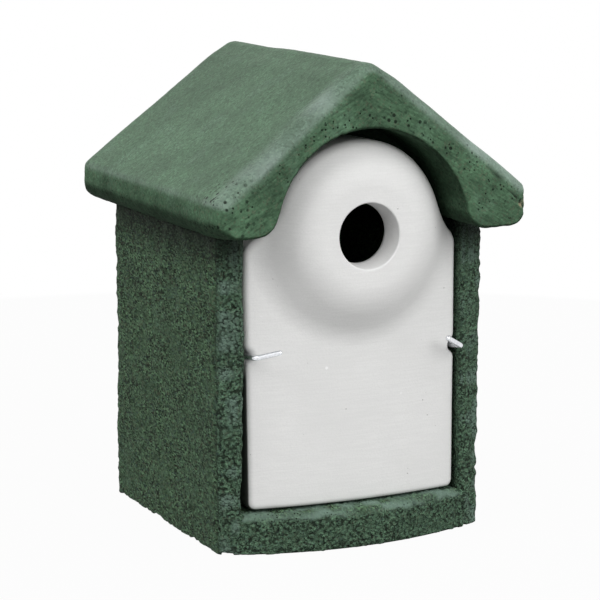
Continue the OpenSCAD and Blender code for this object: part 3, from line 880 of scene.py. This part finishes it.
def bored_face(face, props):
    """The back face with the hanging hole in it, as grids that meet: the face round a
    patch, rings on spokes from the patch's border in to the mouth, whose edge is a quarter
    of a circle, then the bore and its flat end."""
    x, z, r, end_y = hang_bore()
    near = np.hypot(face[..., 0] - x, face[..., 2] - z) < r + 4 * MM
    rows, cols = (np.nonzero(near.any(axis=axis))[0] for axis in (1, 0))
    top, low, first, last = rows[0], rows[-1], cols[0], cols[-1]
    border = np.concatenate([
        face[top, first:last], face[top:low, last],
        face[low, first + 1:last + 1][::-1], face[top + 1:low + 1, first][::-1],
    ])[:, [0, 2]]
    middle = np.array([x, z])
    spoke = (border - middle) / np.linalg.norm(border - middle, axis=1, keepdims=True)
    edge = props.bore_edge_r
    mouth = middle + spoke * (r + edge)
    end = upright(middle + spoke * r, end_y)
    patch = [upright(ring, face_back(ring[:, 1], props)) for ring in ruled(border, mouth, 6)]
    bend = [upright(middle + spoke * (r + edge * (1 - np.sin(turn))),
                    face_back(mouth[:, 1], props) - edge * (1 - np.cos(turn)))
            for turn in np.radians([30, 60, 90])]
    rings = np.concatenate([patch, bend, ruled(bend[-1], end, 14)[1:],
                            ruled(end, np.array([x, end_y, z]), 5)[1:]])
    return [(face[:top + 1], False, False), (face[low:], False, False),
            (face[top:low + 1, :first + 1], False, False),
            (face[top:low + 1, last:], False, False), (rings, False, True)]


def roof_grids(props):
    """The roof as one tube: a band between the gable's outer path and the arch, vault or
    level underside below it, carried from the front face to the back face. Where a gable
    face is rounded, a point goes round a quarter of a circle between the path's normal
    and the face's. The two faces are ruled between the outer and the inner path."""
    count = ROOF_POINTS
    start = [EAVE_HALF - props.eave_foot_r, WALL_H]
    outer = whole(gable_profile(props, count))
    arch = whole(arch_profile(props, count, 1), arch_profile(props, count, -1))
    vault = whole(evenly(count, np.linspace(start, [props.vault_r, WALL_H], 6),
                         arc(0, WALL_H, props.vault_r, 0, 90, 40)))
    level = whole(np.linspace(start, [0, WALL_H], count))

    # The rounding shrinks from the eave's side round to the underside.
    under = smooth((WALL_H + props.eave_foot_r - outer[:, 1]) / props.eave_foot_r)
    most = 0.97 * props.edge_r
    round_r = most + (props.lip_r - most) * under
    lip = np.full(len(arch), props.lip_r)
    rows = []

    def add(path_out, y_out, path_in, y_in):
        """One loop of the tube, from the outer path back along the inner one. The two meet
        at the eaves' feet."""
        out, back = upright(path_out, y_out), upright(path_in, y_in)
        back[[0, -1]] = out[[0, -1]]
        rows.append(np.concatenate([out, back[::-1]]))

    def round_off(turns, path_in, normal_in, face, way):
        """Loops round the edges of one face, by turns from 0 on the path to 90 on the
        face, whose depth at a height face gives."""
        for turn in np.radians(turns):
            parts = []
            for path, normal, r in ((outer, side_normals(outer), round_r),
                                    (path_in, normal_in, lip)):
                path = path - (r * (1 - np.cos(turn)))[:, None] * normal
                parts += [path, face(path[:, 1], props) + way * r * (1 - np.sin(turn))]
            add(*parts)

    def carry(path_in, starts, ends, steps):
        """Loops from one pair of depths to another, of the outer and the inner path."""
        for t in np.linspace(0, 1, steps):
            y_out, y_in = (a * (1 - t) + b * t for a, b in zip(starts, ends))
            add(outer, y_out, path_in, y_in)

    round_off((90, 72, 54, 36, 18), arch, -side_normals(arch), face_front, 1)
    front = face_front(outer[:, 1], props) + round_r, face_front(arch[:, 1], props) + lip
    back = face_back(outer[:, 1], props) - round_r, face_back(level[:, 1], props) - lip
    carry(arch, front, (SEAT_Y, SEAT_Y), HOOD_LOOPS)
    carry(vault, (SEAT_Y, SEAT_Y), (CAVITY_BACK, CAVITY_BACK), VAULT_LOOPS)
    carry(level, (CAVITY_BACK, CAVITY_BACK), back, GABLE_LOOPS)
    round_off((18, 36, 54, 72, 90), level, np.array([0.0, -1.0]), face_back, -1)
    tube = np.stack(rows)
    n = len(outer)
    faces = []
    for ring, face, steps in ((tube[0], face_front, FRONT_STEPS),
                              (tube[-1], face_back, BACK_STEPS)):
        grid = ruled(ring[:n], ring[n:][::-1], steps)
        grid[1:-1, :, 1] = face(grid[1:-1, :, 2], props)
        faces.append(grid)
    return [(tube, False, True), (faces[0], False, False), *bored_face(faces[1], props)]


def path_gap(flat, path):
    """Distance from each flat point to the nearest place on a path of straight runs."""
    path = np.array(path, float)
    start, run = path[:-1, None], np.diff(path, axis=0)[:, None]
    share = np.sum((flat[None] - start) * run, axis=2) / np.sum(run * run, axis=2)
    foot = start + run * np.clip(share, 0, 1)[..., None]
    return np.min(np.linalg.norm(flat[None] - foot, axis=2), axis=0)


# In millimetres, in X and Z: where pores crowd over the arch, the crack along the right
# eave's front edge, and the chips beside it as x, z and radius.
PORED_PATH = ((-8, 215), (4, 213), (17, 212), (30, 205), (40, 196))
CRACK_PATH = ((60.0, 188.5), (66.0, 182.6), (71.8, 176.4), (77.5, 171.1), (81.6, 167.2),
              (83.6, 163.0))
CHIPS = ((79.4, 167.9, 1.3), (83.0, 169.9, 1.7), (82.4, 172.0, 1.0))


def pored_places(points):
    """Where pores crowd, from 0 to 1: round the left eave's front corner, over the arch,
    and near the left eave's back corner."""
    over = path_gap(points[:, [0, 2]] / MM, PORED_PATH)
    corner = np.linalg.norm(points / MM - [-84, ROOF_FRONT / MM + 8, 174], axis=1)
    back = np.linalg.norm(points / MM - [-84, ROOF_BACK / MM - 14, 172], axis=1)
    near = np.maximum(1.3 - over / 5, 1.7 - corner / 17)
    near *= (points[:, 1] < ROOF_FRONT + 12 * MM) | (corner < 30)
    return smooth(np.maximum(near, 0.8 - back / 14))


def edge_damage(points):
    """How near a point lies to the crack along the right eave's front edge, and to the
    chips beside it: 1 on them, and 0 from 1.4 mm or 1.4 of a chip's radii away."""
    x, z = points[:, 0] / MM, points[:, 2] / MM
    front = points[:, 1] < ROOF_FRONT + 7 * MM
    away = path_gap(np.stack([x, z], axis=1), CRACK_PATH)
    crack = np.clip(1.4 - away, 0, 1) * np.clip((x - 54) / 14, 0, 1) * front
    near = np.min([np.hypot(x - chip_x, z - chip_z) / r for chip_x, chip_z, r in CHIPS], axis=0)
    return crack, np.clip(1.4 - near, 0, 1) * front


def make_roof(props):
    """The roof with its arched hood and back gable, its left front foot curled up, its
    slopes swollen and its skin roughened: a little on the slopes, more on the faces, the
    eaves and underneath, and not at all round the hanging hole."""
    piece = skin("cast_roof", roof_grids(props))
    points, normals = read_mesh(piece)
    near_front = 1 - smooth((points[:, 1] - ROOF_FRONT) / (26 * MM))
    low = 1 - smooth((points[:, 2] - WALL_H) / (24 * MM))
    wide = smooth((-points[:, 0] - 40 * MM) / (14 * MM))
    points[:, 2] += props.feet_lift * near_front * low * wide
    x, y, z = np.abs(points[:, 0]), points[:, 1], points[:, 2]
    up = normals[:, 2]

    # Rubbed smooth on the slopes, over the ridge and half-way round their edges.
    upward = smooth((up - 0.18) / 0.42)
    coarse = 1 - 0.75 * upward
    clusters = smooth((lattice_noise(points, 20, 25) - 0.05) / 0.3)
    pores = pits(points, 5, 0.35, 1.1, 24) * coarse * (0.1 + 0.9 * clusters)
    rough = layers(points, (8, 0.22, 22), (3, 0.18, 23), (1.8, 0.14, 27))
    height = layers(points, (30, 0.35, 21)) + rough * coarse - ROOF_SINK
    height -= props.pit_depth * pores
    height += props.swell * smooth((up - 0.2) / 0.55) * smooth((x - 3 * MM) / (12 * MM))
    inside = (x < CAVITY_HALF) & (y > SEAT_Y - 1 * MM) & (y < CAVITY_BACK + 1 * MM)
    inside &= z < WALL_H + props.vault_r + 2 * MM
    bore_x, bore_z, bore_r, end_y = hang_bore()
    off = np.hypot(points[:, 0] - bore_x, z - bore_z) - bore_r
    plain = np.where(y > end_y - 1 * MM, smooth((off - 0.9 * MM) / (4 * MM)), 1)
    crack, chips = edge_damage(points)
    height = np.where(inside, 0, height) * plain - CRACK_DEPTH * np.maximum(crack, 0.4 * chips)

    # A pale band where the edges round over from the slopes: wear and a painted sheen.
    turned = 1 - np.abs(up - 0.56) / 0.24
    turned *= np.where(y > ROOF_FRONT + 20 * MM, 0.35, 1.0) * plain
    edge = smooth(1 - (y - face_front(z, props) - 4 * MM) / (14 * MM))
    worn = np.clip(np.maximum(turned, 0.8 * edge * (up > 0.6)), 0, 1)
    worn *= np.clip(0.70 + 0.5 * lattice_noise(points, 14, 26), 0, 1)
    # The faces that look down take painted shade.
    return settle(piece, points + normals * height[:, None],
                  pit=np.maximum(pores, 0.6 * crack), chip=chips, pored=pored_places(points),
                  rubbed=upward * plain, sheltered=smooth((-up - 0.02) / 0.35) * plain,
                  worn=worn)


# ---------------------------------------------------------------- the panel


def panel_outline(props, hook_z, count, notched=True):
    """Half of the panel's outline, from the middle of its bottom round the lower corner,
    up the side with the hook's notch in it, round the shoulder, along the hollow neck and
    up the round top to its middle. The notch's own edges are rounded, and every arc
    touches the next. Without its notch the side is straight, with as many points, those
    beside the notch moved down so that scaled about the hole they lie level with it."""
    foot, corner, neck = props.foot_r, props.corner_r, props.neck_r
    foot_z = LEDGE_H + props.foot_gap
    sx, sz = PANEL_HALF - corner, props.corner_z - WALL_H
    top_r = PANEL_TOP - WALL_H
    reach = np.hypot(sx, sz)
    along = ((top_r + neck) ** 2 - (corner + neck) ** 2 + reach ** 2) / (2 * reach)
    off = np.sqrt((top_r + neck) ** 2 - along ** 2)
    nx, nz = (along * sx - off * sz) / reach, (along * sz + off * sx) / reach
    to_top = np.degrees(np.arctan2(nz, nx))
    to_corner = np.degrees(np.arctan2(nz - sz, nx - sx))
    fillet = 4.4 * MM
    edge_x, notch_x = PANEL_HALF - fillet, PANEL_HALF - props.notch_in
    rise = np.sqrt((props.notch_r + fillet) ** 2 - (edge_x - notch_x) ** 2)
    lean = np.degrees(np.arctan2(rise, notch_x - edge_x))
    below = evenly(count * 42 // 100,
                   np.linspace([0, foot_z], [PANEL_HALF - foot, foot_z], 30),
                   arc(PANEL_HALF - foot, foot_z + foot, foot, -90, 0, 10),
                   [[PANEL_HALF, hook_z - rise]])
    notch = evenly(count * 10 // 100,
                   arc(edge_x, hook_z - rise, fillet, 0, lean, 20),
                   arc(notch_x, hook_z, props.notch_r, lean - 180, -180 - lean, 40),
                   arc(edge_x, hook_z + rise, fillet, -lean, 0, 20))
    if not notched:
        notch = np.linspace(notch[0], notch[-1], len(notch))
    above = evenly(count - len(below) - len(notch), [[PANEL_HALF, hook_z + rise]],
                   arc(sx, WALL_H + sz, corner, 0, to_corner, 12),
                   arc(nx, WALL_H + nz, neck, 180 + to_corner, 180 + to_top, 16),
                   arc(0, WALL_H, top_r, to_top, 90, 40))
    path = np.concatenate([below, notch[1:], above[1:]])
    if not notched:
        near = smooth(1 - np.abs(path[:, 1] - hook_z) / (30 * MM))
        path[:, 1] -= near * (1 / INSET - 1) * (WALL_H - props.hole_drop - hook_z)
    return path


def panel_face(flat, props):
    """Y of the panel's front: its sideways bulge, which fades to none on the dome's flat
    ring, less the height of the dome at the distance r from the hole's axis: flat, then a
    convex shoulder, a straight slope and a concave foot, each touching the next."""
    x, z = flat.T
    r = np.hypot(x, z - (WALL_H - props.hole_drop))
    bow_r = (PANEL_HALF ** 2 + props.bow ** 2) / (2 * props.bow)
    ring, end, out, shoulder = props.ring_r, props.dome_r, props.dome_out, props.shoulder_r
    a = props.slope
    straight = out / np.tan(a / 2) - (end - ring)
    foot = (end - ring - straight * np.cos(a)) / np.sin(a) - shoulder
    turn = ring + shoulder * np.sin(a)
    convex = out - shoulder + np.sqrt(np.maximum(shoulder ** 2 - (r - ring) ** 2, 0))
    level = out - shoulder * (1 - np.cos(a)) - (r - turn) * np.tan(a)
    concave = foot - np.sqrt(np.maximum(foot ** 2 - (end - r) ** 2, 0))
    height = np.select([r < ring, r < turn, r < end - foot * np.sin(a), r < end],
                       [out, convex, level, concave], 0)
    bulge = smooth((r - ring) / (end - ring)) * (bow_r - np.sqrt(bow_r ** 2 - x ** 2))
    return RING_Y + out + bulge - height


def panel_rings(props):
    """The panel as closed rings of points, each from its x and z and its depth: the sides,
    the rounded front edge, the plate and the dome, the hole's rounded lip and its tapered
    wall, the hollow, which is part of a ball, and the back."""
    rim, plain = (whole(*(panel_outline(props, hook_axis(name)[2], PANEL_POINTS, notched)
                          for name in ("right_hook", "left_hook")))[:-1]
                  for notched in (True, False))
    normal = side_normals(rim, closed=True)
    middle = np.array([0, WALL_H - props.hole_drop])
    reach = np.linalg.norm(plain - middle, axis=1, keepdims=True)
    spoke = (plain - middle) / reach
    edge, lip, hole_edge = props.edge_r, 1 * MM, props.hole_r + 1 * MM
    back_rim = upright(rim - 1 * MM * normal, PANEL_BACK)
    side_back = upright(rim, PANEL_BACK - 1 * MM)
    side_front = upright(rim, panel_face(rim, props) + edge)
    bend = []
    for turn in np.radians(np.linspace(15, 90, 6)):
        flat = rim - edge * (1 - np.cos(turn)) * normal
        bend.append(upright(flat, panel_face(flat, props) + edge * (1 - np.sin(turn))))
    keep = INSET * reach
    split = np.minimum(props.dome_r + 1 * MM, 0.97 * keep)
    stops = [flat, middle + spoke * keep, middle + spoke * split, middle + spoke * hole_edge]
    plate = [upright(ring, panel_face(ring, props))
             for first, second, steps in zip(stops, stops[1:], PLATE_RINGS)
             for ring in ruled(first, second, steps)[1:]]
    mouth = [upright(middle + spoke * (hole_edge - lip * np.sin(turn)),
                     RING_Y + lip * (1 - np.cos(turn)))
             for turn in np.radians([15, 30, 45, 60, 75, 90])]
    hollow_y = RING_Y + props.dome_t
    wall_back = upright(middle + spoke * props.hole_back_r, hollow_y)
    ball_y = (props.hollow_r ** 2 - props.hole_back_r ** 2 + PANEL_BACK ** 2
              - hollow_y ** 2) / (2 * (PANEL_BACK - hollow_y))
    ball_r = np.hypot(props.hollow_r, ball_y - PANEL_BACK)
    hollow = [upright(middle + spoke * r, ball_y - np.sqrt(ball_r ** 2 - r ** 2))
              for r in np.linspace(props.hole_back_r, props.hollow_r, 12)[1:]]
    return np.concatenate([
        [back_rim], ruled(side_back, side_front, 9), bend, plate, mouth,
        ruled(mouth[-1], wall_back, 10)[1:], hollow, ruled(hollow[-1], back_rim, 8)[1:-1]])


def make_panel(props):
    """The domed panel as one closed skin, its front a little uneven, its left lower edge
    standing clear of the jamb. Below the hooks the faces of its rim that turn into the
    gaps carry a painted shadow."""
    piece = skin("domed_panel", [(panel_rings(props), True, True)])
    points, normals = read_mesh(piece)
    x, y, z = points.T
    height = layers(points, (24, 0.12, 31), (7, 0.04, 32)) - PANEL_SINK
    height *= smooth((PANEL_BACK - 1 * MM - y) / (3 * MM))
    height *= smooth((z - LEDGE_H - props.foot_gap - 0.5 * MM) / (3 * MM))
    moved = points + normals * height[:, None]
    # Painted shadow on the rim's faces that turn into the gaps, below the hooks.
    rim_near = np.maximum(np.abs(x) - PANEL_HALF, LEDGE_H - z) + 6 * MM
    turned = smooth((normals[:, 1] + 0.64) / 0.18) * (y < PANEL_BACK)
    below = smooth((hook_axis("left_hook")[2] - z) / (12 * MM))
    slack_top = 130 * MM
    left = smooth((-x - 30 * MM) / (25 * MM))
    moved[:, 0] += props.slack * left * np.clip((slack_top - z) / (slack_top - LEDGE_H), 0, 1)
    return settle(piece, moved, grime=turned * below * smooth(rim_near / (3 * MM)))


# ---------------------------------------------------------------- the hooks


def make_hook(props, name, side, turn):
    """A round wire carried along its middle line: a straight shank, a bend and a straight
    arm whose end is rounded. The line's plane is turned about the shank by the arm's
    angle, and on the left it is the mirror image."""
    axis = hook_axis(name)
    r, bend = props.wire_r, props.bend_r
    sweep = np.pi / 2 - props.lean
    a = np.linspace(0, sweep, 18)
    curve = np.stack([bend * np.cos(a) - bend, props.front_y - bend * np.sin(a)], axis=1)
    ahead = np.array([-np.sin(sweep), -np.cos(sweep)])
    shank = np.linspace([0, SHANK_BACK], [0, props.front_y], 60)[:-1]
    arm = curve[-1] + ahead * np.linspace(0, props.arm, 26)[1:, None]
    cap_turn = np.radians([18, 36, 54, 72, 85])
    cap = arm[-1] + ahead * (r * np.sin(cap_turn))[:, None]
    path = np.concatenate([shank, curve, arm, cap])
    along = np.gradient(path, axis=0)
    along /= np.linalg.norm(along, axis=1, keepdims=True)
    radius = np.full(len(path), r)
    radius[-len(cap):] = r * np.cos(cap_turn)
    radius[:2] = r * np.array([0.55, 0.85])
    around = np.arange(WIRE_SIDES) * 2 * np.pi / WIRE_SIDES
    across = np.stack([-along[:, 1], along[:, 0]], axis=1)
    flat = path[:, None] + across[:, None] * (radius[:, None] * np.cos(around))[..., None]
    out, y = flat[..., 0], flat[..., 1]
    high = radius[:, None] * np.sin(around)
    x = axis[0] + side * (out * np.cos(turn) + high * np.sin(turn))
    z = axis[2] - out * np.sin(turn) + high * np.cos(turn)
    tube = joined(x, y, z + props.rise * smooth((-66 * MM - y) / (12 * MM)))
    return skin(name + "_wire", [(tube, False, True), (fan(tube[0]), False, True),
                                 (fan(tube[-1]), False, True)])


# ---------------------------------------------------------------- operators


def dress(piece, material, body, slot_name, *nodes):
    """Gives a new piece its material and body, and hides the nodes that it stands for."""
    piece.data.materials.clear()
    piece.data.materials.append(material)
    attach(piece, body)
    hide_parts(*nodes)


class NEST_OT_walls(bpy.types.Operator):
    """Builds the coarse walls, the jambs and the sill below the panel"""
    bl_idname = "nest.walls"
    bl_label = "Cast Walls"

    def execute(self, context):
        props = context.scene.nest_walls
        material = coarse_casting(props.green)
        dress(make_walls(props), material, "box", "casting",
              "back_wall", "left_wall", "right_wall", "left_jamb", "right_jamb")
        dress(make_sill(props), material, "box", "casting", "front_sill")
        for slot in frame["nodes"]["floor"].material_slots:
            slot.material = material
        return {"FINISHED"}


class NEST_OT_roof(bpy.types.Operator):
    """Builds the roof with its arched hood and back gable"""
    bl_idname = "nest.roof"
    bl_label = "Roof and Hood"

    def execute(self, context):
        props = context.scene.nest_roof
        dress(make_roof(props), troweled_casting(props.green), "box", "roof",
              "left_roof", "right_roof", "left_hood", "right_hood", "back_gable")
        return {"FINISHED"}


class NEST_OT_panel(bpy.types.Operator):
    """Builds the domed front panel with its entrance hole"""
    bl_idname = "nest.panel"
    bl_label = "Domed Panel"

    def execute(self, context):
        props = context.scene.nest_panel
        dress(make_panel(props), smooth_panel(props.grey), "box", "panel", "front_panel")
        return {"FINISHED"}


class NEST_OT_hooks(bpy.types.Operator):
    """Builds the two wire hooks that hold the panel"""
    bl_idname = "nest.hooks"
    bl_label = "Wire Hooks"

    def execute(self, context):
        props = context.scene.nest_hooks
        material = plated_wire(props.zinc)
        for name, side, turn in (("left_hook", -1, props.left_turn),
                                 ("right_hook", 1, props.right_turn)):
            dress(make_hook(props, name, side, turn), material, name, "hook", name)
        return {"FINISHED"}


def lamp(name, power, size, place):
    """A square area lamp at a place, turned towards the box."""
    data = bpy.data.lights.new(name, "AREA")
    data.energy = power
    data.size = size
    obj = bpy.data.objects.new(name, data)
    obj.location = place
    obj.rotation_euler = (Vector(LAMP_TARGET) - Vector(place)).to_track_quat("-Z", "Y").to_euler()
    bpy.context.scene.collection.objects.link(obj)


class NEST_OT_stage(bpy.types.Operator):
    """Lays the floor and sets up the lamps, the sky and the camera"""
    bl_idname = "nest.stage"
    bl_label = "Stage"

    def execute(self, context):
        scene = context.scene
        props = scene.nest_stage
        around = np.arange(DISC_SIDES) * 2 * np.pi / DISC_SIDES
        r = np.array([props.floor_r, props.floor_r / 3, 1 * MM])[:, None]
        disc = joined(r * np.cos(around), r * np.sin(around), -0.05 * MM)
        floor = skin("floor_disc", [(disc, False, True)])
        floor.data.materials.append(pale_floor())

        lamp("front_lamp", props.front_power, *FRONT_LAMP)
        lamp("left_lamp", props.left_power, *LEFT_LAMP)
        scene.world = sky(props.sky_low, props.sky_high)
        scene.view_settings.view_transform = "Standard"

        data = bpy.data.cameras.new("camera")
        data.lens = CAMERA_LENS
        data.sensor_width = CAMERA_SENSOR
        data.clip_start = 0.05
        camera = bpy.data.objects.new("camera", data)
        turn = Matrix.Identity(4)
        for axis, degrees in CAMERA_TURNS:
            turn = turn @ Matrix.Rotation(np.radians(degrees), 4, axis)
        camera.rotation_euler = turn.to_euler()
        camera.location = CAMERA_PLACE
        scene.collection.objects.link(camera)
        scene.camera = camera
        return {"FINISHED"}


class NEST_PT_panel(bpy.types.Panel):
    """Lists the nest box's pieces in the sidebar"""
    bl_label = "Nest Box"
    bl_space_type = "VIEW_3D"
    bl_region_type = "UI"
    bl_category = "Nest Box"

    def draw(self, context):
        for name in GROUPS:
            box = self.layout.box()
            group = getattr(context.scene, name)
            for key in group.__annotations__:
                box.prop(group, key)
            box.operator(name.replace("_", "."))


GROUPS = {"nest_walls": NestWalls, "nest_roof": NestRoof, "nest_panel": NestPanel,
          "nest_hooks": NestHooks, "nest_stage": NestStage}
OPERATORS = (NEST_OT_stage, NEST_OT_walls, NEST_OT_roof, NEST_OT_panel, NEST_OT_hooks)


def register():
    """Registers the property groups, the operators and the sidebar panel."""
    for name, group in GROUPS.items():
        bpy.utils.register_class(group)
        setattr(bpy.types.Scene, name, PointerProperty(type=group))
    for operator in OPERATORS:
        bpy.utils.register_class(operator)
    bpy.utils.register_class(NEST_PT_panel)


def unregister():
    """Takes away what register added."""
    bpy.utils.unregister_class(NEST_PT_panel)
    for operator in reversed(OPERATORS):
        bpy.utils.unregister_class(operator)
    for name, group in GROUPS.items():
        delattr(bpy.types.Scene, name)
        bpy.utils.unregister_class(group)


def main():
    """Registers the add-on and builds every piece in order."""
    register()
    bpy.ops.nest.stage()
    bpy.ops.nest.walls()
    bpy.ops.nest.roof()
    bpy.ops.nest.panel()
    bpy.ops.nest.hooks()
    bpy.context.view_layer.update()


if __name__ == "__main__":
    main()
